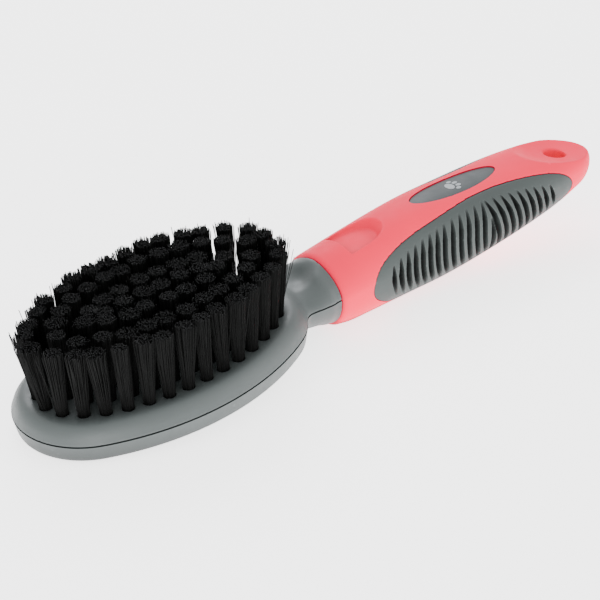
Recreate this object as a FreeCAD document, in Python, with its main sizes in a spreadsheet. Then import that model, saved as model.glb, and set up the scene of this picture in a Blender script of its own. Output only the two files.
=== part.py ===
"""Bristle grooming brush, as an assembly of separate pieces.

An oval head of two plastic halves carries 78 tufts of nylon, each held by a steel anchor in a blind hole. The
halves run on through a neck and a collar as the core of the handle. A soft sleeve with two ribbed side grips,
a badge, a thumb recess and a hang hole is moulded round that core.

Working frame of every piece: x runs from the head's centre to the handle, z = 0 is the seam plane between
the two halves, +z is the bristle side. The Placement of each piece then puts the origin at the middle of the
whole brush's length, at its lowest point.
"""
import FreeCAD, Part
import math
import os

import Sketcher
from FreeCAD import Placement, Rotation, Vector

doc = FreeCAD.newDocument("bristle_brush")

# --------------------------------------------------------------------------------------------------------
# Driving dimensions, in millimetres and degrees
# --------------------------------------------------------------------------------------------------------
DIMENSIONS = {
    # placing
    "head_centre_x": -65.0,
    "seam_height": 16.49,
    # head
    "head_half_length": 50.0,
    "head_half_width": 30.5,
    "head_end_radius": 24.0,
    "rim_height": 6.0,
    "rim_round": 2.6,
    "rim_width": 4.6,
    "face_recess": 0.7,
    "back_depth": 5.8,
    "back_round": 1.4,
    "back_cavity_inset": 6.0,
    "back_cavity_depth": 3.3,
    # pegs between the halves
    "peg_radius": 1.2,
    "peg_rise": 2.0,
    "peg_root": 0.5,
    "peg_clearance": 0.05,
    "socket_spare_depth": 0.2,
    "peg_long_x": 30.0,
    "peg_wide_y": 11.2,
    "core_peg_first_x": 84.0,
    "core_peg_second_x": 136.0,
    # tufts
    "tuft_root_radius": 1.85,
    "tuft_tip_radius": 2.65,
    "tuft_top": 27.1,
    "tuft_lean": 1.1,
    "hole_bottom": 1.2,
    "staple_thickness": 0.35,
    "staple_length": 3.3,
    "staple_height": 1.6,
    "outer_ring_long": 41.9,
    "outer_ring_wide": 22.3,
    "outer_ring_count": 32,
    "second_ring_long": 34.0,
    "second_ring_wide": 15.6,
    "second_ring_count": 24,
    "third_ring_long": 25.0,
    "third_ring_wide": 6.65,
    "third_ring_count": 16,
    "centre_row_pitch": 6.74,
    "centre_row_count": 6,
    # handle
    "collar_x": 59.5,
    "section_power": 2.2,
    "core_inset": 3.6,
    "core_end_x": 156.0,
    "core_lap": 1.5,
    "handle_cap_x": 168.0,
    "handle_end_x": 180.0,
    "grip_depth": 2.2,
    "grip_inner_y": 6.5,
    "badge_centre_x": 120.2,
    "badge_half_length": 18.4,
    "badge_half_width": 5.3,
    "badge_sink": 0.4,
    "badge_thickness": 0.9,
    "print_thickness": 0.15,
    "recess_start_x": 70.5,
    "recess_end_x": 87.5,
    "recess_half_width": 6.8,
    "recess_shoulder_x": 80.5,
    "recess_shoulder_half_width": 5.9,
    "recess_floor_z": 10.1,
    "recess_floor_tilt": 5.0,
    "dish_low_x": 182.0,
    "dish_low_z": 1.6,
    "dish_radius": 70.6,
    "under_dish_low_z": 5.2,
    "under_dish_radius": 90.0,
    "hang_hole_x": 166.9,
    "hang_hole_radius": 3.75,
    # reach of the cutting tools past the faces they cut
    "tool_over": 1.0,
    "tool_skin": 3.0,
    "tool_reach": 30.0,
    "column_foot": 4.0,
    "column_height": 15.0,
    "side_box_start": -80.0,
    "side_box_length": 300.0,
    "side_box_width": 100.0,
    "side_box_height": 50.0,
}

# Handle outline: distance along x, half width, height above the seam plane and depth below it
HANDLE_STATIONS = [
    (59.5, 13.9, 9.2, 13.0),
    (66.0, 13.8, 10.1, 14.8),
    (78.0, 13.8, 11.2, 15.6),
    (92.0, 14.1, 11.8, 16.1),
    (106.0, 14.7, 11.8, 16.4),
    (120.0, 15.1, 11.1, 15.6),
    (134.0, 15.2, 10.2, 14.2),
    (148.0, 14.6, 9.2, 12.6),
    (159.0, 13.4, 8.0, 11.1),
    (168.0, 11.8, 6.9, 9.3),
]

# Neck: the same measures, from inside the head to the collar
NECK_STATIONS = [
    (41.0, 11.8, 4.5, 4.6),
    (45.0, 12.0, 4.8, 7.4),
    (49.0, 12.15, 5.3, 9.2),
    (53.0, 12.7, 7.0, 10.0),
    (56.0, 13.2, 8.6, 10.9),
    (59.5, 13.6, 8.9, 12.6),
]

# Side grip: its outline seen from the side, as x and z, going round once
GRIP_OUTLINE = [
    (72.8, -2.0),
    (77.5, 4.3),
    (92.0, 8.3),
    (116.0, 9.7),
    (140.0, 8.1),
    (156.5, 4.4),
    (162.3, -1.5),
    (157.5, -7.0),
    (138.0, -11.6),
    (112.0, -14.2),
    (88.0, -13.2),
    (76.5, -8.0),
]

# Paw print on the badge: each pad's offset from the badge's centre along x and y, its larger and smaller half
# sizes, and the angle of the larger one from x
PAW_PADS = [
    (-1.3, 0.0, 1.9, 1.5, 90.0),
    (0.5, -2.4, 0.95, 0.6, 0.0),
    (1.7, -0.9, 1.05, 0.65, 0.0),
    (1.7, 0.9, 1.05, 0.65, 0.0),
    (0.5, 2.4, 0.95, 0.6, 0.0),
]

# What the columns of each table above hold
MEASURES = {
    "handle": ("along", "wide", "above", "below"),
    "neck": ("along", "wide", "above", "below"),
    "grip": ("along", "up"),
    "pad": ("along", "across", "major", "minor", "turn"),
}

# Points round a handle section, and the angles at which sections close the handle's rounded end
SECTION_POINTS = 24
CAP_ANGLES = (25, 45, 62, 76, 86)


def fill_sheet():
    """Write every driving dimension into the spreadsheet, one alias for each."""
    book = doc.addObject("Spreadsheet::Sheet", "dims")
    values = dict(DIMENSIONS)
    tables = {"handle": HANDLE_STATIONS, "neck": NECK_STATIONS, "grip": GRIP_OUTLINE, "pad": PAW_PADS}
    for table_name, table in tables.items():
        for index, entry in enumerate(table, start=1):
            for measure, value in zip(MEASURES[table_name], entry):
                values[f"{table_name}_{measure}_{index}"] = value
    for row, (alias, value) in enumerate(values.items(), start=1):
        book.set(f"A{row}", alias.replace("_", " "))
        book.set(f"B{row}", str(value))
        book.setAlias(f"B{row}", alias)
    doc.recompute()
    return book


sheet = fill_sheet()


def dim(alias):
    """A driving dimension, read from the sheet."""
    return float(sheet.get(alias))


def bind(thing, **expressions):
    """Tie properties of an object to expressions over the sheet's aliases."""
    for prop, expression in expressions.items():
        thing.setExpression(prop, expression)


REST = Placement(Vector(dim("head_centre_x"), 0, dim("seam_height")), Rotation())


# --------------------------------------------------------------------------------------------------------
# Helpers: ovals, handle sections, boolean features
# --------------------------------------------------------------------------------------------------------
def origin_plane(body, role):
    """One of the body's own origin planes, found by its role."""
    return next(item for item in body.Origin.OriginFeatures if item.Role == role)


def side_radius(inset):
    """Expression for the oval's long side arcs, when the outline is moved in by inset."""
    length = f"(dims.head_half_length - {inset})"
    width = f"(dims.head_half_width - {inset})"
    end = f"(dims.head_end_radius - {inset})"
    return f"(({length} - {end})^2 + {width}^2 - {end}^2) / (2 * ({width} - {end}))"


def oval_sketch(body, name, inset, height):
    """Four tangent arcs that make the head's outline, moved in by inset, on a plane at height."""
    sketch = body.newObject("Sketcher::SketchObject", name)
    sketch.AttachmentSupport = [(origin_plane(body, "XY_Plane"), "")]
    sketch.MapMode = "FlatFace"
    bind(sketch, **{"AttachmentOffset.Base.z": height})
    half_length = dim("head_half_length")
    half_width = dim("head_half_width")
    end = dim("head_end_radius")
    reach = half_length - end
    side = (reach ** 2 + half_width ** 2 - end ** 2) / (2 * (half_width - end))
    drop = side - half_width
    turn = math.atan2(drop, reach)
    up = Vector(0, 0, 1)
    arcs = (
        (Vector(reach, 0, 0), end, -turn, turn),
        (Vector(0, -drop, 0), side, turn, math.pi - turn),
        (Vector(-reach, 0, 0), end, math.pi - turn, math.pi + turn),
        (Vector(0, drop, 0), side, math.pi + turn, 2 * math.pi - turn),
    )
    for centre, radius, start, stop in arcs:
        sketch.addGeometry(Part.ArcOfCircle(Part.Circle(centre, up, radius), start, stop), False)
    right, top, left, bottom = range(4)
    start, end_point, centre_point = 1, 2, 3
    x_axis, y_axis, origin = -1, -2, -1
    sketch.addConstraint([
        Sketcher.Constraint("PointOnObject", right, centre_point, x_axis),
        Sketcher.Constraint("PointOnObject", top, centre_point, y_axis),
        Sketcher.Constraint("PointOnObject", bottom, centre_point, y_axis),
        Sketcher.Constraint("Tangent", right, end_point, top, start),
        Sketcher.Constraint("Tangent", top, end_point, left, start),
        Sketcher.Constraint("Tangent", left, end_point, bottom, start),
        Sketcher.Constraint("Tangent", bottom, end_point, right, start),
    ])
    sizes = (
        ("right_reach", Sketcher.Constraint("DistanceX", origin, 1, right, centre_point, reach),
         "dims.head_half_length - dims.head_end_radius"),
        ("right_radius", Sketcher.Constraint("Radius", right, end), f"dims.head_end_radius - {inset}"),
        ("left_radius", Sketcher.Constraint("Radius", left, end), f"dims.head_end_radius - {inset}"),
        ("top_radius", Sketcher.Constraint("Radius", top, side), side_radius(inset)),
        ("bottom_radius", Sketcher.Constraint("Radius", bottom, side), side_radius(inset)),
    )
    for constraint_name, constraint, expression in sizes:
        index = sketch.addConstraint(constraint)
        sketch.renameConstraint(index, constraint_name)
        sketch.setExpression(f"Constraints.{constraint_name}", expression)
    return sketch


def edges_at_height(shape, height):
    """Names of the edges that lie wholly at one height."""
    names = []
    for index, edge in enumerate(shape.Edges, start=1):
        box = edge.BoundBox
        if abs(box.ZMin - height) < 1e-4 and abs(box.ZMax - height) < 1e-4:
            names.append(f"Edge{index}")
    return names


def oval_body(name, height_alias, reversed_pad, round_alias):
    """A pad of the head's outline with its far edge rounded."""
    body = doc.addObject("PartDesign::Body", name)
    outline = oval_sketch(body, f"{name}_outline", "0", "0")
    pad = body.newObject("PartDesign::Pad", f"{name}_pad")
    pad.Profile = outline
    pad.Reversed = reversed_pad
    bind(pad, Length=f"dims.{height_alias}")
    doc.recompute()
    far_height = -dim(height_alias) if reversed_pad else dim(height_alias)
    fillet = body.newObject("PartDesign::Fillet", f"{name}_round")
    fillet.Base = (pad, edges_at_height(pad.Shape, far_height))
    bind(fillet, Radius=f"dims.{round_alias}")
    doc.recompute()
    return body


def oval_pocket(body, name, inset_alias, depth_alias, height_expression, reversed_pocket):
    """A pocket of the outline moved in by a dimension."""
    outline = oval_sketch(body, f"{name}_outline", f"dims.{inset_alias}", height_expression)
    before = body.Shape.Volume
    pocket = body.newObject("PartDesign::Pocket", name)
    pocket.Profile = outline
    pocket.Reversed = reversed_pocket
    bind(pocket, Length=f"dims.{depth_alias}")
    doc.recompute()
    if body.Shape.Volume >= before:
        raise RuntimeError(f"{name} cuts nothing")
    return pocket


def egg_section(x, half_width, above, below):
    """Closed section across the handle at x, a little squarer than an ellipse."""
    power = 2.0 / dim("section_power")

    def point(angle):
        c = math.cos(angle)
        s = math.sin(angle)
        y = half_width * math.copysign(abs(c) ** power, c)
        reach = above if s >= 0 else below
        return Vector(x, y, reach * math.copysign(abs(s) ** power, s))

    bottom = -math.pi / 2
    turn = 2 * math.pi / SECTION_POINTS
    curve = Part.BSplineCurve()
    curve.interpolate([point(bottom + turn * i) for i in range(SECTION_POINTS)], PeriodicFlag=True)
    return Part.Wire(curve.toShape())


def read_table(table_name, count):
    """One of the tables, read back from the sheet."""
    measures = MEASURES[table_name]
    return [[dim(f"{table_name}_{measure}_{i}") for measure in measures] for i in range(1, count + 1)]


def section_at(x, inset):
    """Half width, height and depth of the handle at x, between two stations."""
    rows = read_table("handle", len(HANDLE_STATIONS))
    for first, second in zip(rows, rows[1:]):
        if first[0] <= x <= second[0]:
            share = (x - first[0]) / (second[0] - first[0])
            return [a + share * (b - a) - inset for a, b in zip(first[1:], second[1:])]
    raise ValueError(f"no station at {x}")


def handle_blank(inset=0.0, end_x=None, start_x=None):
    """The handle's outer form moved in by inset, with a rounded end, or cut square at end_x."""
    rows = read_table("handle", len(HANDLE_STATIONS))
    if start_x is not None:
        rows[0][0] = start_x
    wires = []
    for x, wide, above, below in rows:
        if end_x is not None and x >= end_x:
            break
        wires.append(egg_section(x, wide - inset, above - inset, below - inset))
    if end_x is not None:
        wires.append(egg_section(end_x, *section_at(end_x, inset)))
    else:
        _, wide, above, below = rows[-1]
        cap = dim("handle_end_x") - inset - dim("handle_cap_x")
        for turn in CAP_ANGLES:
            shrink = math.cos(math.radians(turn))
            x = dim("handle_cap_x") + cap * math.sin(math.radians(turn))
            sizes = [(measure - inset) * shrink for measure in (wide, above, below)]
            wires.append(egg_section(x, *sizes))
    return Part.makeLoft(wires, True, False)


def core_blank():
    """The plastic core inside the sleeve, from inside the collar to its square end."""
    return handle_blank(dim("core_inset"), dim("core_end_x"), dim("collar_x") - dim("core_lap"))


def shape_feature(name, shape, placement=None):
    """A Part::Feature for a form that no sketch feature or primitive gives."""
    feature = doc.addObject("Part::Feature", name)
    feature.Shape = shape
    if placement is not None:
        feature.Placement = placement
    return feature


def cut(name, base, *tools):
    """base less each tool."""
    result = base
    for index, tool in enumerate(tools, start=1):
        feature = doc.addObject("Part::Cut", name if index == len(tools) else f"{name}_cut_{index}")
        feature.Base = result
        feature.Tool = tool
        feature.Refine = False
        result = feature
    return result


def common(name, base, tool):
    """What base and tool share."""
    feature = doc.addObject("Part::Common", name)
    feature.Base = base
    feature.Tool = tool
    feature.Refine = False
    return feature


def fuse(name, *pieces):
    """All the pieces as one solid."""
    feature = doc.addObject("Part::MultiFuse", name)
    feature.Shapes = list(pieces)
    feature.Refine = False
    return feature


def half_space(name, sign):
    """A box over (sign 1) or under (sign -1) the seam plane, large enough for the whole brush."""
    box = doc.addObject("Part::Box", name)
    bind(box, Length="dims.side_box_length", Width="dims.side_box_width", Height="dims.side_box_height")
    foot = 0 if sign > 0 else -dim("side_box_height")
    box.Placement.Base = Vector(dim("side_box_start"), -dim("side_box_width") / 2, foot)
    return box


# --------------------------------------------------------------------------------------------------------
# Where the tufts stand
# --------------------------------------------------------------------------------------------------------
def ring_places(half_long, half_wide, count):
    """Points at equal distances along an ellipse, from its -x end on, each with its outward direction."""
    steps = 1440
    angles = [math.pi - 2 * math.pi * i / steps for i in range(steps + 1)]
    path = [Vector(half_long * math.cos(a), half_wide * math.sin(a), 0) for a in angles]
    lengths = [0.0]
    for first, second in zip(path, path[1:]):
        lengths.append(lengths[-1] + first.distanceToPoint(second))
    places = []
    index = 0
    for number in range(count):
        wanted = lengths[-1] * number / count
        while lengths[index + 1] < wanted:
            index += 1
        spot = path[index]
        outward = Vector(spot.x / half_long ** 2, spot.y / half_wide ** 2, 0)
        outward.normalize()
        places.append((spot, outward))
    return places


def ring(name):
    """Places of one named ring."""
    count = int(dim(f"{name}_count"))
    return ring_places(dim(f"{name}_long"), dim(f"{name}_wide"), count)


def row():
    """Places of the straight row in the middle."""
    count = int(dim("centre_row_count"))
    pitch = dim("centre_row_pitch")
    places = []
    for number in range(count):
        x = (number - (count - 1) / 2) * pitch
        places.append((Vector(x, 0, 0), Vector(0, 0, 0)))
    return places


RINGS = {
    "outer_ring": (ring("outer_ring"), 1.0),
    "second_ring": (ring("second_ring"), 0.6),
    "third_ring": (ring("third_ring"), 0.3),
    "centre_row": (row(), 0.0),
}


# --------------------------------------------------------------------------------------------------------
# Head, neck and core
# --------------------------------------------------------------------------------------------------------
def peg_places():
    """Centres of the pegs that line the two halves up."""
    return [
        Vector(dim("peg_long_x"), 0, 0),
        Vector(-dim("peg_long_x"), 0, 0),
        Vector(0, dim("peg_wide_y"), 0),
        Vector(0, -dim("peg_wide_y"), 0),
        Vector(dim("core_peg_first_x"), 0, 0),
        Vector(dim("core_peg_second_x"), 0, 0),
    ]


def peg(name, place, radius_expression, foot, top_expression):
    """One upright cylinder from the height foot to a height over the seam plane."""
    cylinder = doc.addObject("Part::Cylinder", name)
    bind(cylinder, Radius=radius_expression, Height=f"{top_expression} + {-foot}")
    cylinder.Placement.Base = place + Vector(0, 0, foot)
    return cylinder


def neck():
    """The neck and collar, from inside the head to the sleeve's front edge."""
    wires = [egg_section(*station) for station in read_table("neck", len(NECK_STATIONS))]
    return Part.makeLoft(wires, True, False)


def half_of(name, shape, side):
    """The part of a form on one side of the seam plane."""
    return common(name, shape_feature(f"{name}_whole", shape), half_space(f"{name}_side", side))


def stem_halves(name, side):
    """The neck, collar and core of one half of the brush."""
    return half_of(f"neck_{name}", neck(), side), half_of(f"core_{name}", core_blank(), side)


def tuft_holes():
    """Blind holes for every tuft, from the hole's bottom to above the rim."""
    bottom = dim("hole_bottom")
    height = dim("rim_height") + dim("tool_over") - bottom
    holes = []
    for places, _ in RINGS.values():
        for spot, _ in places:
            holes.append(Part.makeCylinder(dim("tuft_root_radius"), height, spot + Vector(0, 0, bottom)))
    return shape_feature("tuft_holes", Part.makeCompound(holes))


def make_front_shell():
    """Brush face, upper half of the neck, collar and core, with the tuft holes and peg sockets."""
    plate = oval_body("front_plate", "rim_height", False, "rim_round")
    oval_pocket(plate, "face_pocket", "rim_width", "face_recess", "dims.rim_height", False)
    body = fuse("front_body", plate, *stem_halves("front", 1))
    radius = "dims.peg_radius + dims.peg_clearance"
    top = "dims.peg_rise + dims.socket_spare_depth"
    sockets = [
        peg(f"socket_{i}", place, radius, -dim("tool_over"), top)
        for i, place in enumerate(peg_places(), start=1)
    ]
    return cut("front_shell", body, tuft_holes(), fuse("sockets", *sockets))


def make_rear_shell():
    """Back cover of the head, lower half of the neck, collar and core, with the locating pegs."""
    plate = oval_body("rear_plate", "back_depth", True, "back_round")
    oval_pocket(plate, "back_cavity", "back_cavity_inset", "back_cavity_depth", "0", False)
    foot = -dim("back_cavity_depth") - dim("peg_root")
    pegs = [
        peg(f"peg_{i}", place, "dims.peg_radius", foot, "dims.peg_rise")
        for i, place in enumerate(peg_places(), start=1)
    ]
    return fuse("rear_shell", plate, *stem_halves("rear", -1), *pegs)


# --------------------------------------------------------------------------------------------------------
# Handle: sleeve, grips, badge
# --------------------------------------------------------------------------------------------------------
def skin_of_depth(depth):
    """A shell round the handle from depth under its surface to well outside it."""
    return handle_blank(-dim("tool_skin")).cut(handle_blank(depth))


def grip_prism(name, side):
    """A bar with the grip's side outline, reaching outwards from the grip's hidden inner edge."""
    outline = read_table("grip", len(GRIP_OUTLINE))
    inner_y = dim("grip_inner_y") * side
    curve = Part.BSplineCurve()
    curve.interpolate([Vector(x, inner_y, z) for x, z in outline], PeriodicFlag=True)
    face = Part.Face(Part.Wire(curve.toShape()))
    return shape_feature(name, face.extrude(Vector(0, dim("tool_reach") * side, 0)))


def make_grip(name, side):
    """One side grip: the skin of the handle inside the grip's outline."""
    outer = shape_feature(f"{name}_outer", handle_blank())
    skin = common(f"{name}_block", outer, grip_prism(f"{name}_prism", side))
    inner = shape_feature(f"{name}_inner", handle_blank(dim("grip_depth")))
    return cut(name, skin, inner)


def oval_column(name, centre, major, minor, turn):
    """An upright column through the top of the handle. major and minor are expressions for its half sizes."""
    ellipse = doc.addObject("Part::Ellipse", f"{name}_ellipse")
    bind(ellipse, MajorRadius=major, MinorRadius=minor)
    foot = centre + Vector(0, 0, dim("column_foot"))
    ellipse.Placement = Placement(foot, Rotation(Vector(0, 0, 1), turn))
    column = doc.addObject("Part::Extrusion", name)
    column.Base = ellipse
    column.Dir = Vector(0, 0, 1)
    bind(column, LengthFwd="dims.column_height")
    column.Solid = True
    return column


def badge_layer(name, column, outer_inset, inner_inset):
    """The part of a column between two depths under the handle's surface."""
    outer = shape_feature(f"{name}_outer", handle_blank(outer_inset))
    inner = shape_feature(f"{name}_inner", handle_blank(inner_inset))
    return cut(name, common(f"{name}_block", outer, column), inner)


def badge_column(name):
    """The column whose section is the badge's outline."""
    centre = Vector(dim("badge_centre_x"), 0, 0)
    return oval_column(name, centre, "dims.badge_half_length", "dims.badge_half_width", 0)


def thumb_recess():
    """Tool for the thumb recess: straight towards the head, round towards the end, with a tilted floor."""
    start = dim("recess_start_x")
    wide = dim("recess_half_width")
    tip = Vector(dim("recess_end_x") - start, 0, 0)
    shoulder_x = dim("recess_shoulder_x") - start
    shoulder_y = dim("recess_shoulder_half_width")
    outline = Part.Wire([
        Part.LineSegment(Vector(0, -wide, 0), Vector(0, wide, 0)).toShape(),
        Part.Arc(Vector(0, wide, 0), Vector(shoulder_x, shoulder_y, 0), tip).toShape(),
        Part.Arc(tip, Vector(shoulder_x, -shoulder_y, 0), Vector(0, -wide, 0)).toShape(),
    ])
    column = Part.Face(outline).extrude(Vector(0, 0, dim("column_height")))
    tilt = Rotation(Vector(0, 1, 0), dim("recess_floor_tilt"))
    return shape_feature("thumb_recess", column, Placement(Vector(start, 0, dim("recess_floor_z")), tilt))


def dish(name, low_z, radius, side):
    """A large cylinder across the handle that scoops its end on one side."""
    cylinder = doc.addObject("Part::Cylinder", name)
    bind(cylinder, Radius=f"dims.{radius}", Height="2 * dims.tool_reach")
    lying = Rotation(Vector(1, 0, 0), 90)
    height = side * (dim(low_z) + dim(radius))
    cylinder.Placement = Placement(Vector(dim("dish_low_x"), dim("tool_reach"), height), lying)
    return cylinder


def hang_hole():
    """The round hole through the handle's end."""
    cylinder = doc.addObject("Part::Cylinder", "hang_hole")
    bind(cylinder, Radius="dims.hang_hole_radius", Height="2 * dims.tool_reach")
    cylinder.Placement.Base = Vector(dim("hang_hole_x"), 0, -dim("tool_reach"))
    return cylinder


def make_sleeve():
    """The soft sleeve: the handle's form less the core, the pockets, the recess, the dishes and the hole."""
    blank = shape_feature("sleeve_blank", handle_blank())
    core = shape_feature("core_space", core_blank())
    pockets = [
        common(f"pocket_{word}", shape_feature(f"pocket_{word}_skin", skin_of_depth(dim("grip_depth"))),
               grip_prism(f"pocket_{word}_prism", side))
        for word, side in (("right", -1), ("left", 1))
    ]
    badge_depth = dim("badge_sink") + dim("badge_thickness")
    badge_room = common("badge_room", shape_feature("badge_room_skin", skin_of_depth(badge_depth)),
                        badge_column("badge_room_column"))
    tools = fuse("sleeve_tools", core, thumb_recess(), hang_hole(),
                 dish("top_dish", "dish_low_z", "dish_radius", 1),
                 dish("under_dish", "under_dish_low_z", "under_dish_radius", -1))
    return cut("handle_sleeve", blank, tools, *pockets, badge_room)


def make_badge():
    """The oval plate, a little below the sleeve's surface."""
    sink = dim("badge_sink")
    return badge_layer("badge_plate", badge_column("badge_column"), sink, sink + dim("badge_thickness"))


def make_badge_print():
    """A paw print in thin raised ink on the badge."""
    sink = dim("badge_sink")
    pads = []
    for number, (along, across, _, _, turn) in enumerate(read_table("pad", len(PAW_PADS)), start=1):
        centre = Vector(dim("badge_centre_x") + along, across, 0)
        sizes = (f"dims.pad_major_{number}", f"dims.pad_minor_{number}")
        column = oval_column(f"pad_{number}_column", centre, *sizes, turn)
        pads.append(badge_layer(f"pad_{number}", column, sink - dim("print_thickness"), sink))
    group = doc.addObject("Part::Compound", "badge_print")
    group.Links = pads
    return group


# --------------------------------------------------------------------------------------------------------
# Tufts and their anchors
# --------------------------------------------------------------------------------------------------------
def staple_box(spot, outward):
    """The flat anchor that stands across the bottom of one hole."""
    thick = dim("staple_thickness")
    long = dim("staple_length")
    box = Part.makeBox(thick, long, dim("staple_height"), Vector(-thick / 2, -long / 2, 0))
    turn = math.degrees(math.atan2(outward.y, outward.x))
    box.Placement = Placement(spot + Vector(0, 0, dim("hole_bottom")), Rotation(Vector(0, 0, 1), turn))
    return box


def tuft(spot, outward, lean_share):
    """One bundle of bristles: round in its hole, flared and leaning outwards above the face."""
    root = dim("tuft_root_radius")
    bottom = dim("hole_bottom")
    face = dim("rim_height") - dim("face_recess")
    stem = Part.makeCylinder(root, face - bottom, spot + Vector(0, 0, bottom))
    lean = outward * (dim("tuft_lean") * lean_share)
    tip_spot = spot + lean + Vector(0, 0, dim("tuft_top"))
    foot_ring = Part.Wire(Part.makeCircle(root, spot + Vector(0, 0, face)))
    tip_ring = Part.Wire(Part.makeCircle(dim("tuft_tip_radius"), tip_spot))
    flare = Part.makeLoft([foot_ring, tip_ring], True, True)
    return stem.fuse(flare).cut(staple_box(spot, outward))


def make_tufts():
    """Every ring of tufts and every ring of anchors, each a node of separate solids."""
    made = []
    for name, (places, lean_share) in RINGS.items():
        bundles = [tuft(spot, outward, lean_share) for spot, outward in places]
        anchors = [staple_box(spot, outward) for spot, outward in places]
        made.append(shape_feature(f"tufts_{name}", Part.makeCompound(bundles)))
        made.append(shape_feature(f"anchors_{name}", Part.makeCompound(anchors)))
    return made


# --------------------------------------------------------------------------------------------------------
# Build, test and write
# --------------------------------------------------------------------------------------------------------
def write_parts(pieces):
    """Test every object, then write one STEP file for each piece."""
    doc.recompute()
    for thing in doc.Objects:
        if "Invalid" in thing.State or "Error" in thing.State:
            raise RuntimeError(f"{thing.Name} failed: {thing.State}")
    for piece in pieces:
        if piece.Shape.isNull() or not piece.Shape.isValid():
            raise RuntimeError(f"{piece.Label} has no valid shape")
    os.makedirs("parts", exist_ok=True)
    for piece in pieces:
        piece.Shape.exportStep(f"parts/{piece.Label}.step")
        box = piece.Shape.BoundBox
        print(f"{piece.Label}: {len(piece.Shape.Solids)} solids, {piece.Shape.Volume:.0f} mm3, "
              f"x {box.XMin:.1f} to {box.XMax:.1f}, y {box.YMin:.1f} to {box.YMax:.1f}, "
              f"z {box.ZMin:.1f} to {box.ZMax:.1f}")


def main():
    """Build every piece, place it in the brush's frame and write it."""
    pieces = [
        make_front_shell(),
        make_rear_shell(),
        make_sleeve(),
        make_grip("grip_right", -1),
        make_grip("grip_left", 1),
        make_badge(),
        make_badge_print(),
        *make_tufts(),
    ]
    for piece in pieces:
        piece.Placement = REST
    write_parts(pieces)


main()
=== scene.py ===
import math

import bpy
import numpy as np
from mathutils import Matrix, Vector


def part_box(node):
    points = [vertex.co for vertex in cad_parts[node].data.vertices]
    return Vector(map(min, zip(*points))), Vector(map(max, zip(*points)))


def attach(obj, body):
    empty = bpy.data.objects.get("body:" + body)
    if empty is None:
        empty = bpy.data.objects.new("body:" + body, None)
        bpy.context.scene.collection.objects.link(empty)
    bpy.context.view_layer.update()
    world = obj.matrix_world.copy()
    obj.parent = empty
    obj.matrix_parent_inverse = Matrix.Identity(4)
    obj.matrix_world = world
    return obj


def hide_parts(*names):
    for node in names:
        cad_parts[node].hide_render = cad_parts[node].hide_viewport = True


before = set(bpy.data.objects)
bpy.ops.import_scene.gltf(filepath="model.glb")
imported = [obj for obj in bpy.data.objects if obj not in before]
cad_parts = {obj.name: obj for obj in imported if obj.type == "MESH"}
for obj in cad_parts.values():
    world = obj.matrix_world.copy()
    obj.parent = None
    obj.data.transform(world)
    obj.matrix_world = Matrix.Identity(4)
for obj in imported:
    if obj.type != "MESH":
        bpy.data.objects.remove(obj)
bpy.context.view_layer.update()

# Looks of the bristle brush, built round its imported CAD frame.
#
# Shapes are worked out in millimetres in the brush's own design frame: x runs from the head's centre towards
# the handle, z = 0 is the seam between the two halves and +z is the bristle side. Each moulded piece is a
# signed distance field, negative inside, that contour() turns into a mesh. in_row() then moves it to the row
# frame.

# --------------------------------------------------------------------------------------------------
# Places and sizes, in millimetres and degrees, from the frame where it holds them
# --------------------------------------------------------------------------------------------------
MM = 0.001
SHELL_LOW, SHELL_HIGH = (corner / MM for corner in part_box("front_shell"))
SLEEVE_LOW, SLEEVE_HIGH = (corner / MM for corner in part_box("handle_sleeve"))
_, TUFT_HIGH = (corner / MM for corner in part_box("tufts_outer_ring"))

HEAD_HALF_LENGTH = 50.0
HEAD_HALF_WIDTH = SHELL_HIGH.y
HEAD_END_RADIUS = 24.0
HEAD_X = SHELL_LOW.x + HEAD_HALF_LENGTH
SEAM_Z = SHELL_LOW.z
SLEEVE_SETBACK = 0.9
COLLAR_X = SLEEVE_LOW.x - HEAD_X + SLEEVE_SETBACK
COLLAR_RAKE = 0.03
HANDLE_END_X = SLEEVE_HIGH.x - HEAD_X
TUFT_TOP = TUFT_HIGH.z - SEAM_Z

RIM_HEIGHT = 6.0
RIM_TAPER = 0.42
RIM_ROUND = 4.2
FACE_RECESS = 0.5
FACE_Z = RIM_HEIGHT - FACE_RECESS
FACE_SLOPE = (2.6, 7.0)
BACK_DEPTH = 5.8
BACK_TAPER = 0.2
BACK_ROUND = 1.4
BACK_CAVITY_INSET = 6.0
BACK_CAVITY_DEPTH = 3.3
SEAM_GAP = 0.5
SEAM_REACH = (-1.8, -1.2)
HOLE_RADIUS = 1.9
HOLE_BOTTOM = 1.2
HEAD_NECK_BLEND = 2.2
DIMPLE_X = 52.0
DIMPLE_Z = 11.3
DIMPLE_RADIUS = 6.9
DIMPLE_EDGE_ROUND = 2.2
HOLE_EDGE_ROUND = 0.3
NECK_END_ROUND = 0.5

SECTION_POWER = 2.2
COLLAR_TOP_POWER = 1.7
COLLAR_FADE = (60, 112)
LEAST_SIZE = 2.0
CAP_X = 168.0
CORE_INSET = 3.6
CORE_END_X = 156.0
CORE_LAP = 1.5
FIT_GAP = 0.05
CORE_HOLLOW_LEAD = 9
SLEEVE_EDGE_ROUND = 2.0

GRIP_DEPTH = 3.0
GRIP_INNER_Y = 6.5
GRIP_EDGE_ROUND = 0.45
RIB_DEPTH = 2.5
RIB_HALF_WIDTH = 1.12
RIB_BORDER = 1.35
RIB_END_BORDER = 1.5
RIB_MIDDLE_X = 117.0
RIB_REACH_X = 35.0
RIB_RAMP = 4.5
RIB_RAMP_POWER = 0.85
RIB_TOP_SLOPE = 0.8
RIB_SLANT_Z = 1
RIB_MIDDLE_Z = -0.8
RIB_GROOVE_POWER = 2.6
RIB_WIDTH_SHARES = (0.3, 0.7)
NO_TOP = 99.0
LEAST_REACH = 0.3

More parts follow.
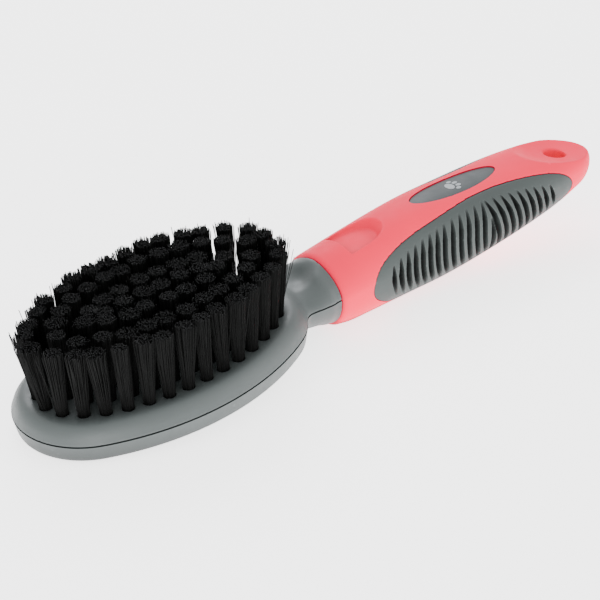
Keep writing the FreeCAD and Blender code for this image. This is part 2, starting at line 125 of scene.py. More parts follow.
BADGE_X = 120.2
BADGE_HALF_LENGTH = 18.4
BADGE_HALF_WIDTH = 5.3
BADGE_SINK = 0.4
BADGE_THICKNESS = 0.9
BADGE_EDGE_ROUND = 0.3

RECESS_X = 70.8
RECESS_SHOULDER_X = 77.0
RECESS_END_X = 87.8
RECESS_HALF_WIDTH = 6.4
RECESS_POWER = 2.4
RECESS_DRAFT = 0.55
RECESS_FLOOR_Z = 8.45
RECESS_FLOOR_RISE = 0.035
RECESS_CREASE_ROUND = 0.8
RECESS_FLOOR_ROUND = 0.5
RECESS_LIP_ROUND = 0.3

DISH_X = 182.0
DISH_Z = 1.6
DISH_RADIUS = 70.6
DISH_CROSS_RADIUS = 52.0
UNDER_DISH_Z = -5.2
UNDER_DISH_RADIUS = 90.0
HANG_HOLE_X = 166.9
HANG_HOLE_RADIUS = 3.75
DISH_EDGE_ROUND = 0.4
UNDER_DISH_EDGE_ROUND = 1.6
HANG_HOLE_EDGE_ROUND = 1.0

# A field's value where a cut made on one side of the handle only doesn't reach
NO_CUT = 9.0

# Handle sections: distance along x, half width, height over and depth under the seam plane. From x = 120 on
# they are the CAD handle's. Nearer the head they are up to 0.6 mm taller, and narrower at the collar.
HANDLE_STATIONS = (
    (59.5, 13.4, 9.8, 13.4),
    (63.0, 13.65, 10.2, 14.1),
    (66.0, 13.75, 10.5, 14.8),
    (72.0, 13.8, 11.1, 15.3),
    (78.0, 13.8, 11.6, 15.6),
    (92.0, 14.1, 12.15, 16.1),
    (106.0, 14.7, 11.95, 16.4),
    (120.0, 15.1, 11.1, 15.6),
    (134.0, 15.2, 10.2, 14.2),
    (148.0, 14.6, 9.2, 12.6),
    (159.0, 13.4, 8.0, 11.1),
    (168.0, 11.8, 6.9, 9.3),
)

# Neck and collar, in the same measures
NECK_STATIONS = (
    (38.0, 11.6, 3.6, 3.6),
    (43.0, 11.9, 4.4, 6.2),
    (47.0, 12.1, 4.8, 8.6),
    (50.0, 12.2, 5.1, 9.6),
    (53.0, 12.7, 6.0, 10.1),
    (55.0, 12.9, 7.1, 10.7),
    (57.0, 13.1, 8.4, 11.5),
    (58.6, 12.9, 8.8, 12.0),
    (60.6, 12.9, 9.2, 12.5),
)

# Side grip: its outline seen from the side, as x and z, going round once
GRIP_OUTLINE = (
    (72.8, -2.0), (77.5, 4.3), (92.0, 8.3), (116.0, 9.7), (140.0, 8.1), (156.5, 4.4),
    (162.3, -1.5), (157.5, -7.0), (138.0, -11.6), (112.0, -14.2), (88.0, -13.2), (76.5, -8.0),
)

# Tuft rings: half sizes, number of tufts and share of the outward lean
RINGS = {
    "outer_ring": (41.9, 22.3, 32, 1.0),
    "second_ring": (34.0, 15.6, 24, 0.6),
    "third_ring": (25.0, 6.65, 16, 0.3),
}
CENTRE_ROW_PITCH = 6.74
CENTRE_ROW_COUNT = 6

# Paw print: each pad's offset along x and y from the badge's centre, and its half sizes along x and y
PAW_PADS = (
    (-1.3, 0.0, 1.5, 1.9),
    (0.5, -2.4, 0.95, 0.6),
    (1.7, -0.9, 1.05, 0.65),
    (1.7, 0.9, 1.05, 0.65),
    (0.5, 2.4, 0.95, 0.6),
)
PRINT_THICKNESS = 0.15
PRINT_EDGE_ROUND = 0.1
PRINT_SINK = 0.02

# Valleys between the ribs, in groups: x at the middle of number 0, pitch, numbers, slant, bow and the height
# where they start
RIB_GROUPS = (
    (81.4, 3.04, range(8), 0.0, 0.03, NO_TOP),
    (102.7, 3.43, range(1, 6), 0.0, 0.03, NO_TOP),
    (123.4, 0.0, range(1), 0.1, 0.0, 3.4),
    (125.2, 3.27, range(9), 0.25, 0.0, NO_TOP),
)

COARSE = 1.0


# --------------------------------------------------------------------------------------------------
# Curves and fields
# --------------------------------------------------------------------------------------------------
def spline(xs, ys):
    """A natural cubic through the points, going on straight past its ends."""
    xs = np.asarray(xs, float)
    ys = np.asarray(ys, float)
    gap = np.diff(xs)
    count = len(xs)
    system = np.eye(count)
    right = np.zeros(count)
    for i in range(1, count - 1):
        system[i, i - 1:i + 2] = gap[i - 1], 2 * (gap[i - 1] + gap[i]), gap[i]
        right[i] = 6 * ((ys[i + 1] - ys[i]) / gap[i] - (ys[i] - ys[i - 1]) / gap[i - 1])
    bend = np.linalg.solve(system, right)
    first_slope = (ys[1] - ys[0]) / gap[0] - gap[0] * bend[1] / 6
    last_slope = (ys[-1] - ys[-2]) / gap[-1] + gap[-1] * bend[-2] / 6

    def value(x):
        near = np.clip(x, xs[0], xs[-1])
        i = np.clip(np.searchsorted(xs, near) - 1, 0, count - 2)
        after = near - xs[i]
        before = xs[i + 1] - near
        cubic = (bend[i] * before ** 3 + bend[i + 1] * after ** 3) / (6 * gap[i])
        straight = (ys[i] / gap[i] - bend[i] * gap[i] / 6) * before
        straight = straight + (ys[i + 1] / gap[i] - bend[i + 1] * gap[i] / 6) * after
        past = np.where(x < xs[0], first_slope, last_slope) * (x - near)
        return cubic + straight + past

    return value


def sizes_along(stations):
    """Half width, height and depth along x as three splines."""
    columns = list(zip(*stations))
    return [spline(columns[0], column) for column in columns[1:]]


def smooth_step(low, high, value):
    """0 under low, 1 over high and an S curve between."""
    share = np.clip((value - low) / (high - low), 0, 1)
    return share * share * (3 - 2 * share)


def smooth_min(a, b, width):
    """The union of two fields, with a fillet about as wide as width."""
    share = np.clip(0.5 + 0.5 * (b - a) / width, 0, 1)
    return b + (a - b) * share - width * share * (1 - share)


def smooth_max(a, b, width):
    """What two fields share, with a rounded edge."""
    return -smooth_min(-a, -b, width)


def egg(x, y, z, sizes):
    """How far out a point is in its section, 1 on the outline, and how fast that grows.

    The section is a little squarer than an ellipse, and pointier on top near the collar.
    """
    wide, above, below = (np.maximum(size(x), LEAST_SIZE) for size in sizes)
    top_power = COLLAR_TOP_POWER + (SECTION_POWER - COLLAR_TOP_POWER) * smooth_step(*COLLAR_FADE, x)
    power = np.where(z >= 0, top_power, SECTION_POWER)
    tall = np.where(z >= 0, above, below)
    across = np.abs(y) / wide
    up = np.abs(z) / tall
    total = np.maximum(across ** power + up ** power, 1e-9)
    slope = np.hypot(across ** (power - 1) / wide, up ** (power - 1) / tall)
    return total ** (1 / power), slope * total ** (1 / power - 1)


HANDLE_SIZES = sizes_along(HANDLE_STATIONS)
NECK_SIZES = sizes_along(NECK_STATIONS)
LEAST_SLOPE = 0.03


def handle_form(x, y, z):
    """The whole handle from the collar to its rounded end, and how far out each point is in its section."""
    reach, slope = egg(x, y, z, HANDLE_SIZES)
    cap = HANDLE_END_X - CAP_X
    past = np.maximum(x - CAP_X, 0) / cap
    total = np.maximum(np.hypot(reach, past), 1e-6)
    steep = np.hypot(reach / total * slope, past / total / cap)
    return (total - 1) / np.maximum(steep, LEAST_SLOPE), reach


def neck_form(x, y, z):
    """The neck and the collar's dome, up to the sleeve's edge."""
    reach, slope = egg(x, y, z, NECK_SIZES)
    body = (reach - 1) / np.maximum(slope, LEAST_SLOPE)
    body = np.maximum(body, NECK_STATIONS[0][0] - x)
    return smooth_max(body, x - COLLAR_X - COLLAR_RAKE * np.maximum(z, 0), NECK_END_ROUND)


def core_form(x, y, z):
    """The plastic core inside the sleeve."""
    body = handle_form(x, y, z)[0] + CORE_INSET + FIT_GAP
    return np.maximum(np.maximum(body, x - CORE_END_X), COLLAR_X - CORE_LAP - x)


def oval(x, y):
    """Distance to the head's outline: four tangent arcs."""
    reach = HEAD_HALF_LENGTH - HEAD_END_RADIUS
    squares = reach ** 2 + HEAD_HALF_WIDTH ** 2 - HEAD_END_RADIUS ** 2
    side = squares / (2 * (HEAD_HALF_WIDTH - HEAD_END_RADIUS))
    drop = side - HEAD_HALF_WIDTH
    along = np.abs(x)
    across = np.abs(y)
    end_arc = np.hypot(along - reach, across) - HEAD_END_RADIUS
    side_arc = np.hypot(along, across + drop) - side
    beyond = (across + drop) * reach < along * drop
    return np.where(beyond, end_arc, side_arc)


PATH_POINTS = 1441


def tuft_places():
    """Every ring's tufts: centre, outward direction and share of the lean, by ring name."""
    places = {}
    for name, (half_long, half_wide, count, lean) in RINGS.items():
        angle = math.pi - np.linspace(0, 2 * math.pi, PATH_POINTS)
        path = np.stack([half_long * np.cos(angle), half_wide * np.sin(angle)], -1)
        length = np.concatenate([[0], np.cumsum(np.linalg.norm(np.diff(path, axis=0), axis=1))])
        spots = []
        for number in range(count):
            spot = path[np.searchsorted(length, length[-1] * number / count)]
            outward = spot / np.array([half_long, half_wide]) ** 2
            spots.append((spot, outward / np.linalg.norm(outward), lean))
        places[name] = spots
    middle = (CENTRE_ROW_COUNT - 1) / 2
    still = np.zeros(2)
    places["centre_row"] = [
        (np.array([(number - middle) * CENTRE_ROW_PITCH, 0.0]), still, 0.0)
        for number in range(CENTRE_ROW_COUNT)
    ]
    return places


TUFTS = tuft_places()


def seam_face(body):
    """Each half's joint face, from the seam plane: a shadow gap near the outside, closed further in."""
    return FIT_GAP / 2 + SEAM_GAP / 2 * smooth_step(*SEAM_REACH, body)


def hole_field(x, y, z):
    """All the tuft holes: distance to the nearest one's wall, and its bottom."""
    nearest = np.full(np.broadcast(x, y).shape, np.inf)
    for spots in TUFTS.values():
        for spot, _, _ in spots:
            nearest = np.minimum(nearest, np.hypot(x - spot[0], y - spot[1]))
    return np.maximum(nearest - HOLE_RADIUS, HOLE_BOTTOM - z)


def front_shell_field(x, y, z):
    """Brush face with its rim, upper half of neck and core, and the tuft holes."""
    rim = oval(x, y)
    side = (rim + RIM_TAPER * z) / math.hypot(1, RIM_TAPER)
    top = z - RIM_HEIGHT + FACE_RECESS * smooth_step(*FACE_SLOPE, -rim)
    head = smooth_max(side, top, RIM_ROUND)
    body = smooth_min(head, neck_form(x, y, z), HEAD_NECK_BLEND)
    dimple = DIMPLE_RADIUS - np.sqrt((x - DIMPLE_X) ** 2 + y ** 2 + (z - DIMPLE_Z) ** 2)
    body = smooth_max(body, dimple, DIMPLE_EDGE_ROUND)
    face = seam_face(body)
    body = np.maximum(np.minimum(body, core_form(x, y, z)), face - z)
    return smooth_max(body, -hole_field(x, y, z), HOLE_EDGE_ROUND)


def rear_shell_field(x, y, z):
    """Back cover with its cavity, and the lower half of neck and core."""
    rim = oval(x, y)
    side = (rim - BACK_TAPER * z) / math.hypot(1, BACK_TAPER)
    head = smooth_max(side, -BACK_DEPTH - z, BACK_ROUND)
    body = smooth_min(head, neck_form(x, y, z), HEAD_NECK_BLEND)
    face = seam_face(body)
    body = np.maximum(np.minimum(body, core_form(x, y, z)), face + z)
    cavity = np.maximum(rim + BACK_CAVITY_INSET, -BACK_CAVITY_DEPTH - z)
    return np.maximum(body, -cavity)


# --------------------------------------------------------------------------------------------------
# Handle pieces
# --------------------------------------------------------------------------------------------------
def closed_curve(points, per_span):
    """A smooth closed curve through the points."""
    points = np.asarray(points, float)
    before, after, beyond = (np.roll(points, shift, axis=0) for shift in (1, -1, -2))
    share = np.linspace(0, 1, per_span, endpoint=False)[None, :, None]
    a, b, c, d = (array[:, None, :] for array in (before, points, after, beyond))
    curve = 0.5 * (2 * b + (c - a) * share + (2 * a - 5 * b + 4 * c - d) * share ** 2
                   + (3 * b - a - 3 * c + d) * share ** 3)
    return curve.reshape(-1, 2)


class OutlineField:
    """Distance to a closed outline in a plane, worked out once on a fine grid and then read from it."""

    def __init__(self, outline, margin=6.0, step=0.2):
        self.low = outline.min(0) - margin
        self.step = step
        counts = np.ceil((outline.max(0) + margin - self.low) / step).astype(int) + 1
        u = self.low[0] + step * np.arange(counts[0])[:, None]
        v = self.low[1] + step * np.arange(counts[1])[None, :]
        nearest = np.full(tuple(counts), np.inf)
        inside = np.zeros(tuple(counts), bool)
        for start, end in zip(outline, np.roll(outline, -1, axis=0)):
            run = end - start
            share = np.clip(((u - start[0]) * run[0] + (v - start[1]) * run[1]) / (run @ run), 0, 1)
            away = np.hypot(u - start[0] - share * run[0], v - start[1] - share * run[1])
            nearest = np.minimum(nearest, away)
            spans = (start[1] > v) != (end[1] > v)
            if start[1] != end[1]:
                inside ^= spans & (u < start[0] + (v - start[1]) * run[0] / run[1])
        self.table = np.where(inside, -nearest, nearest)

    def __call__(self, u, v):
        top = np.array(self.table.shape) - 1.001
        i = np.clip((u - self.low[0]) / self.step, 0, top[0])
        j = np.clip((v - self.low[1]) / self.step, 0, top[1])
        i, j = np.broadcast_arrays(i, j)
        i0 = i.astype(int)
        j0 = j.astype(int)
        di = i - i0
        dj = j - j0
        near = self.table[i0, j0] * (1 - di) + self.table[i0 + 1, j0] * di
        far = self.table[i0, j0 + 1] * (1 - di) + self.table[i0 + 1, j0 + 1] * di
        return near * (1 - dj) + far * dj


GRIP_SPAN_POINTS = 14
GRIP = OutlineField(closed_curve(GRIP_OUTLINE, GRIP_SPAN_POINTS))


# Every valley: x at the middle, slant, bow and the height where it starts
RIB_LINES = [
    (first + pitch * number, slant, bow, top)
    for first, pitch, numbers, slant, bow, top in RIB_GROUPS for number in numbers
]


def grip_outline(x, z, reach):
    """Distance to the grip's outline, which grows with the section: its walls are square to the skin."""
    return GRIP(x, z / np.maximum(reach, LEAST_REACH))


def rib_depth(x, z, reach):
    """Depth of the valleys under the grip's skin: nothing at the border, then wider and deeper."""
    border = RIB_BORDER + RIB_END_BORDER * ((x - RIB_MIDDLE_X) / RIB_REACH_X) ** 2
    inset = -grip_outline(x, z, reach) - border
    end_share, middle_share = RIB_WIDTH_SHARES
    depth = 0.0
    for middle, slant, bow, top in RIB_LINES:
        line = middle - slant * (z - RIB_SLANT_Z) + bow * (z - RIB_MIDDLE_Z) ** 2
        start = np.minimum(inset, (top - z) * RIB_TOP_SLOPE)
        ramp = np.clip(start / RIB_RAMP, 0, 1) ** RIB_RAMP_POWER
        half = RIB_HALF_WIDTH * (end_share + middle_share * ramp)
        groove = 1 - np.clip(np.abs(x - line) / half, 0, 1) ** RIB_GROOVE_POWER
        depth = np.maximum(depth, RIB_DEPTH * ramp * groove)
    return depth


def ellipse_field(x, y, half_long, half_wide):
    """Distance to an ellipse about the origin."""
    u = x / half_long
    v = y / half_wide
    reach = np.maximum(np.hypot(u, v), 1e-6)
    slope = np.hypot(u / half_long, v / half_wide) / reach
    return (reach - 1) / np.maximum(slope, LEAST_SLOPE)


def recess_field(x, y, z, skin):
    """The thumb recess: a straight crease towards the head, a round end, sloping walls and a flat floor."""
    along = np.maximum(x - RECESS_SHOULDER_X, 0) / (RECESS_END_X - RECESS_SHOULDER_X)
    across = np.abs(y) / RECESS_HALF_WIDTH
    reach = np.maximum(along ** RECESS_POWER + across ** RECESS_POWER, 1e-9) ** (1 / RECESS_POWER)
    plan = smooth_max((reach - 1) * RECESS_HALF_WIDTH, RECESS_X - x, RECESS_CREASE_ROUND)
    walls = (plan - RECESS_DRAFT * skin) / math.hypot(1, RECESS_DRAFT)
    floor = RECESS_FLOOR_Z + RECESS_FLOOR_RISE * (x - RECESS_X) - z
    return smooth_max(walls, floor, RECESS_FLOOR_ROUND)


def badge_outline(x, y):
    """Distance to the badge's outline, seen from above."""
    return ellipse_field(x - BADGE_X, y, BADGE_HALF_LENGTH, BADGE_HALF_WIDTH)


def sleeve_field(x, y, z):
    """The soft sleeve with its recess, dishes, hole and pockets."""
    skin, reach = handle_form(x, y, z)
    body = smooth_max(skin, COLLAR_X + COLLAR_RAKE * np.maximum(z, 0) - x, SLEEVE_EDGE_ROUND)
    recess = np.where(z > 0, recess_field(x, y, z, skin), NO_CUT)
    body = smooth_max(body, -recess, RECESS_LIP_ROUND)
    dish = DISH_RADIUS - np.hypot(x - DISH_X, z - y ** 2 / (2 * DISH_CROSS_RADIUS) - DISH_Z - DISH_RADIUS)
    body = smooth_max(body, dish, DISH_EDGE_ROUND)
    under = UNDER_DISH_RADIUS - np.hypot(x - DISH_X, z - UNDER_DISH_Z + UNDER_DISH_RADIUS)
    body = smooth_max(body, under, UNDER_DISH_EDGE_ROUND)
    hole = HANG_HOLE_RADIUS - np.hypot(x - HANG_HOLE_X, y)
    body = smooth_max(body, hole, HANG_HOLE_EDGE_ROUND)
    pocket = np.maximum(grip_outline(x, z, reach) - FIT_GAP, GRIP_INNER_Y - FIT_GAP - np.abs(y))
    pocket = np.maximum(pocket, -(skin + GRIP_DEPTH + FIT_GAP))
    body = np.maximum(body, -pocket)
    badge_depth = BADGE_SINK + BADGE_THICKNESS + FIT_GAP
    badge = np.maximum(badge_outline(x, y) - FIT_GAP, -(skin + badge_depth))
    badge = np.where(z > 0, badge, NO_CUT)
    body = np.maximum(body, -badge)
    core = np.maximum(skin + CORE_INSET, x - CORE_END_X - FIT_GAP)
    core = np.maximum(core, COLLAR_X - CORE_HOLLOW_LEAD - x)
    return np.maximum(body, -core)


def grip_field(x, y, z):
    """The right grip: a skin of the handle with ribs cut into it."""
    skin, reach = handle_form(x, y, z)
    outside = skin + rib_depth(x, z, reach)
    body = smooth_max(outside, grip_outline(x, z, reach), GRIP_EDGE_ROUND)
    body = np.maximum(body, GRIP_INNER_Y + y)
    return np.maximum(body, -(skin + GRIP_DEPTH))


def badge_field(x, y, z):
    """The badge plate, a little below the sleeve's skin."""
    skin = handle_form(x, y, z)[0]
    body = smooth_max(skin + BADGE_SINK, badge_outline(x, y), BADGE_EDGE_ROUND)
    body = np.maximum(body, -(skin + BADGE_SINK + BADGE_THICKNESS))
    return np.maximum(body, -z)


def print_field(x, y, z):
    """The raised paw print."""
    skin = handle_form(x, y, z)[0] + BADGE_SINK
    pads = np.full(np.broadcast(x, y).shape, np.inf)
    for along, across, half_long, half_wide in PAW_PADS:
        pads = np.minimum(pads, ellipse_field(x - BADGE_X - along, y - across, half_long, half_wide))
    body = smooth_max(skin - PRINT_THICKNESS, pads, PRINT_EDGE_ROUND)
    return np.maximum(np.maximum(body, -(skin + PRINT_SINK)), -z)


# --------------------------------------------------------------------------------------------------
# From fields to meshes
# --------------------------------------------------------------------------------------------------
CROSSING_ROUNDS = 4
NORMAL_NUDGE = 0.02
CREASE_PULL = 0.03
CREASE_ANGLE = 38
GRIP_CREASE_ANGLE = 32
BRISTLE_CREASE_ANGLE = 60


def crossings(field, value, axes, axis, step):
    """Where the grid's edges along one axis cross the surface: cell, point, normal and if it leads out."""
    near = [slice(None)] * 3
    far = [slice(None)] * 3
    near[axis] = slice(None, -1)
    far[axis] = slice(1, None)
    a = value[tuple(near)]
    b = value[tuple(far)]
    crossed = (a < 0) != (b < 0)
    index = np.argwhere(crossed)
    low_value = a[crossed].copy()
    high_value = b[crossed].copy()
    origin = np.array([line[0] for line in axes])
    start = origin + index * step
    low_share = np.zeros(len(index))
    high_share = np.ones(len(index))
    for _ in range(CROSSING_ROUNDS):
        share = low_share + (high_share - low_share) * low_value / (low_value - high_value)
        point = start.copy()
        point[:, axis] += share * step
        here = field(*point.T)
        same = (here < 0) == (low_value < 0)
        low_share = np.where(same, share, low_share)
        low_value = np.where(same, here, low_value)
        high_share = np.where(same, high_share, share)
        high_value = np.where(same, high_value, here)
        stuck = np.abs(low_value - high_value) < 1e-12
        high_value = np.where(stuck, high_value + 1e-9, high_value)
    normal = np.zeros_like(point)
    for k in range(3):
        shift = np.zeros(3)
        shift[k] = NORMAL_NUDGE
        normal[:, k] = field(*(point + shift).T) - field(*(point - shift).T)
    normal /= np.maximum(np.linalg.norm(normal, axis=1, keepdims=True), 1e-12)
    return index, point, normal, a[crossed] < 0


def contour(field, low, high, step):
    """Points and quads of the surface where the field is zero: a point per crossed cell, on any crease."""
    axes = [np.arange(lo - 2 * step, hi + 3 * step, step) for lo, hi in zip(low, high)]
    grid = np.meshgrid(*axes, indexing="ij", sparse=True)
    value = np.broadcast_to(field(*grid), tuple(len(line) for line in axes))
    cell_counts = np.array(value.shape) - 1
    cells, points, normals, quads, outwards = [], [], [], [], []
    for axis in range(3):
        index, point, normal, outward = crossings(field, value, axes, axis, step)
        u = np.eye(3, dtype=int)[(axis + 1) % 3]
        v = np.eye(3, dtype=int)[(axis + 2) % 3]
        corners = np.stack([index, index - u, index - u - v, index - v], 1)
        flat = np.ravel_multi_index(corners.reshape(-1, 3).T, tuple(cell_counts)).reshape(-1, 4)
        quads.append(np.where(outward[:, None], flat, flat[:, ::-1]))
        cells.append(flat.ravel())
        points.append(np.repeat(point, 4, axis=0))
        normals.append(np.repeat(normal, 4, axis=0))
    cells = np.concatenate(cells)
    points = np.concatenate(points)
    normals = np.concatenate(normals)
    quads = np.concatenate(quads)
    ids, group = np.unique(cells, return_inverse=True)
    size = np.bincount(group)

    def total(weights):
        return np.bincount(group, weights=weights)

    mass = np.stack([total(points[:, k]) for k in range(3)], -1) / size[:, None]
    offset = np.einsum("ij,ij->i", normals, points - mass[group])
    system = np.empty((len(ids), 3, 3))
    right = np.empty((len(ids), 3))
    for i in range(3):
        right[:, i] = total(normals[:, i] * offset)
        for j in range(3):
            system[:, i, j] = total(normals[:, i] * normals[:, j])
    system += CREASE_PULL * np.eye(3)
    vertex = mass + np.linalg.solve(system, right[:, :, None])[:, :, 0]
    corner = np.stack(np.unravel_index(ids, tuple(cell_counts)), -1) * step + [line[0] for line in axes]
    vertex = np.clip(vertex, corner, corner + step)
    return vertex, np.searchsorted(ids, quads)


def in_row(points):
    """From the design frame in millimetres to the row frame in metres."""
    return (np.asarray(points) + [HEAD_X, 0, SEAM_Z]) * MM


def make_piece(name, points, faces, material, replaced, crease=CREASE_ANGLE):
    """A mesh object of the brush that stands for one CAD node."""
    mesh = bpy.data.meshes.new(name)
    mesh.from_pydata(in_row(points).tolist(), [], faces.tolist())
    mesh.validate()
    mesh.shade_smooth()
    mesh.set_sharp_from_angle(angle=math.radians(crease))
    piece = bpy.data.objects.new(name, mesh)
    bpy.context.scene.collection.objects.link(piece)
    mesh.materials.append(material)
    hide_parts(replaced)
    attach(piece, "root")


def moulded(name, field, low, high, step, material, replaced):
    """A piece made from a field."""
    points, faces = contour(field, low, high, step * COARSE)
    make_piece(name, points, faces, material, replaced)


# --------------------------------------------------------------------------------------------------
# Bristles
# --------------------------------------------------------------------------------------------------
FILAMENTS = 180
FILAMENT_RADIUS = 0.13
ROOT_RADIUS = 1.7
TIP_RADIUS = 3.0
TUFT_LEAN = 1.1
LOOSE_X = 36.0
SIDES = 4
SEED = 7

# Shares of a filament's free length where it has a ring of points. The first ring is down in the hole.
LEVELS = (0.0, 0.0, 0.5, 1.0)
ROOT_LIFT = 0.2
FLARE_POWER = 1.08

# Spread of the random draws, in millimetres or as a share
TURN = 6.28
ROOT_JITTER = 0.05
SPREAD_JITTER = 0.08
TIP_JITTER = 0.24
TUFT_SHIFT = 0.5
LOOSE_SHARE = 0.03
LOOSE_SHARE_AT_ENDS = 0.03
LOOSE_SPREAD = 1.0
LOOSE_LEAN = 1.2
TOP_JITTER = 0.25
MOST_SHORT = 0.9
BOW_JITTER = 0.16


def filaments(rng, spot, outward, lean):
    """Centre lines of one tuft's filaments: (filament, level, xyz)."""
    number = np.arange(FILAMENTS) + 0.5
    radius = np.sqrt(number / FILAMENTS)
    angle = number * math.pi * (3 - math.sqrt(5)) + rng.uniform(0, TURN)
    disc = radius[:, None] * np.stack([np.cos(angle), np.sin(angle)], -1)
    root = disc * ROOT_RADIUS + rng.normal(0, ROOT_JITTER, disc.shape)
    spread = TIP_RADIUS * (1 + rng.normal(0, SPREAD_JITTER))
    tip = (disc * spread + rng.normal(0, TIP_JITTER, disc.shape)
           + outward * TUFT_LEAN * lean + rng.normal(0, TUFT_SHIFT, 2))
    loose = LOOSE_SHARE + LOOSE_SHARE_AT_ENDS * lean * (abs(spot[0]) > LOOSE_X)
    stray = rng.random(FILAMENTS) < loose
    tip[stray] += rng.normal(0, LOOSE_SPREAD, (stray.sum(), 2)) + outward * lean * LOOSE_LEAN
    top = TUFT_TOP - np.abs(rng.normal(0, TOP_JITTER, FILAMENTS)).clip(0, MOST_SHORT)
    bow = rng.normal(0, BOW_JITTER, disc.shape)
    levels = np.array(LEVELS)
    heights = np.array([HOLE_BOTTOM + ROOT_LIFT, FACE_Z])
    lines = np.empty((FILAMENTS, len(levels), 3))
    for k, share in enumerate(levels):
        flare = share ** FLARE_POWER
        lines[:, k, :2] = spot + root + (tip - root) * flare + bow * math.sin(math.pi * share)
        lines[:, k, 2] = heights[k] if k < 2 else FACE_Z + (top - FACE_Z) * share
    return lines


def tuft_mesh(lines):
    """Four-sided filaments along the centre lines, with closed ends."""
    count, levels, _ = lines.shape
    angle = np.arange(SIDES) * 2 * math.pi / SIDES
    ring = FILAMENT_RADIUS * np.stack([np.cos(angle), np.sin(angle), np.zeros(SIDES)], -1)
    points = lines[:, :, None, :] + ring[None, None]
    index = np.arange(count * levels * SIDES).reshape(count, levels, SIDES)
    lower = index[:, :-1]
    upper = index[:, 1:]
    walls = np.stack([lower, np.roll(lower, -1, axis=2), np.roll(upper, -1, axis=2), upper], -1)
    walls = walls.reshape(-1, 4)
    tops = index[:, -1]
    bottoms = index[:, 0, ::-1]
    return points.reshape(-1, 3), np.concatenate([walls, tops, bottoms])


def make_tufts(material):
    """One piece of separate filaments for each ring of tufts."""
    rng = np.random.default_rng(SEED)
    for name, spots in TUFTS.items():
        points, faces = [], []
        start = 0
        for spot, outward, lean in spots:
            tuft_points, tuft_faces = tuft_mesh(filaments(rng, spot, outward, lean))
            points.append(tuft_points)
            faces.append(tuft_faces + start)
            start += len(tuft_points)
        make_piece(f"bristles_{name}", np.concatenate(points), np.concatenate(faces),
                   material, f"tufts_{name}", crease=BRISTLE_CREASE_ANGLE)


# --------------------------------------------------------------------------------------------------
# Materials
# --------------------------------------------------------------------------------------------------
AO_SAMPLES = 8
CLOUD_SHADE = 0.93
WORN_EDGE = (0.52, 0.62)
# Pointiness range over which grooves get painted shade, in materials without a hollow
PAINTED_SHADE_BEND = (0.495, 0.455)

# Noise scales shared by the plastics, per metre
CLOUD_SCALE = 60
BROAD_SCALE = 180
SMEAR_SCALE = 240


class Recipe:
    """A material's node tree with short calls for the nodes used here."""

    def __init__(self, name):
        self.material = bpy.data.materials.new(name)
        self.material.use_nodes = True
        self.tree = self.material.node_tree
        self.shader = next(node for node in self.tree.nodes if node.type == "BSDF_PRINCIPLED")
        self.place = self.add("ShaderNodeTexCoord").outputs["Object"]

    def add(self, kind, **settings):
        node = self.tree.nodes.new(kind)
        for key, value in settings.items():
            setattr(node, key, value)
        return node

    def link(self, source, target):
        self.tree.links.new(source, target)

    def noise(self, per_metre, detail=2.0):
        node = self.add("ShaderNodeTexNoise")
        node.inputs["Scale"].default_value = per_metre
        node.inputs["Detail"].default_value = detail
        self.link(self.place, node.inputs["Vector"])
        return node.outputs["Fac"]

    def ranged(self, value, low, high, from_low=0.3, from_high=0.7):
        node = self.add("ShaderNodeMapRange")
        limits = {"From Min": from_low, "From Max": from_high, "To Min": low, "To Max": high}
        for socket, number in limits.items():
            node.inputs[socket].default_value = number
        self.link(value, node.inputs["Value"])
        return node.outputs["Result"]

    def mixed(self, share, first, second):
        node = self.add("ShaderNodeMix", data_type="RGBA")
        self.link(share, node.inputs["Factor"])
        for socket, colour in ((node.inputs[6], first), (node.inputs[7], second)):
            if isinstance(colour, tuple):
                socket.default_value = (*colour, 1)
            else:
                self.link(colour, socket)
        return node.outputs[2]

    def bump(self, height, depth, strength=1.0, below=None):
        node = self.add("ShaderNodeBump")
        node.inputs["Strength"].default_value = strength
        node.inputs["Distance"].default_value = depth
        self.link(height, node.inputs["Height"])
        if below is not None:
            self.link(below, node.inputs["Normal"])
        return node.outputs["Normal"]

    def edge(self, low, high):
        """0 at one pointiness and 1 at the other: outer edges are over 0.5, grooves are under it."""
        pointy = self.add("ShaderNodeNewGeometry").outputs["Pointiness"]
        if low < high:
            return self.ranged(pointy, 0.0, 1.0, low, high)
        return self.ranged(pointy, 1.0, 0.0, high, low)

    def hollows(self, reach, open_sky, deep):
        """Share of painted shade: 0 in the open and 1 down in a hollow, from how much of the sky within reach
        a point sees.
        """
        node = self.add("ShaderNodeAmbientOcclusion", samples=AO_SAMPLES)
        node.inputs["Distance"].default_value = reach
        return self.ranged(node.outputs["AO"], 1.0, 0.0, deep, open_sky)

    def give(self, socket, value):
        if isinstance(value, (int, float, tuple)):
            self.shader.inputs[socket].default_value = value
        else:
            self.link(value, self.shader.inputs[socket])


